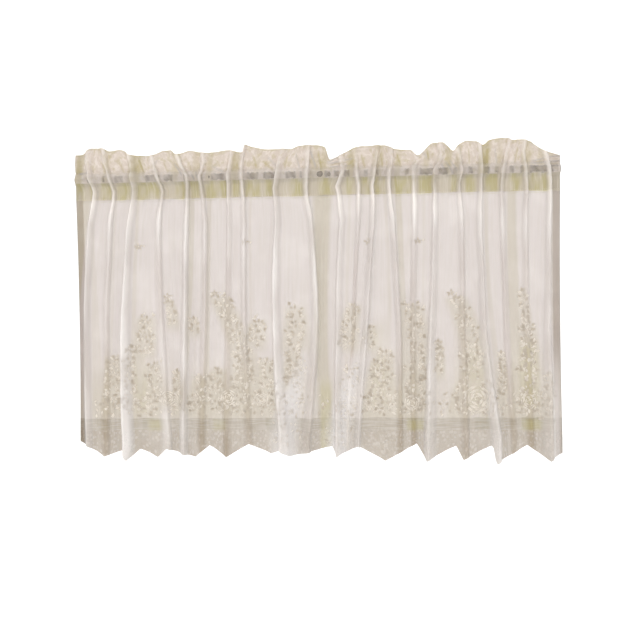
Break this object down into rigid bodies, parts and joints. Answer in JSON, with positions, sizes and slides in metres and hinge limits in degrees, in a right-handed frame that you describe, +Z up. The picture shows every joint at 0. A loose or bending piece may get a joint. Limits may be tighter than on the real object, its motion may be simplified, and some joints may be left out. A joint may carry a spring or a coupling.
{
  "type": "window valance with rod",
  "caption": "Sheer lace window valance with a ruffled header, gathered on a plain round rod, with a pointed hem.",
  "frame": {"origin": "middle of the rod's axis", "axes": "+X along the rod to the right as seen from the front, +Z up, the front of the cloth faces -Y"},
  "size_m": [0.914, 0.0407, 0.6033],
  "materials": {
    "sheer_cloth": "sheer, matt",
    "rod_finish": "satin"
  },
  "bodies": {
    "root": {"valance_cloth": "sheer_cloth", "rod": "rod_finish"}
  },
  "joints": []
}
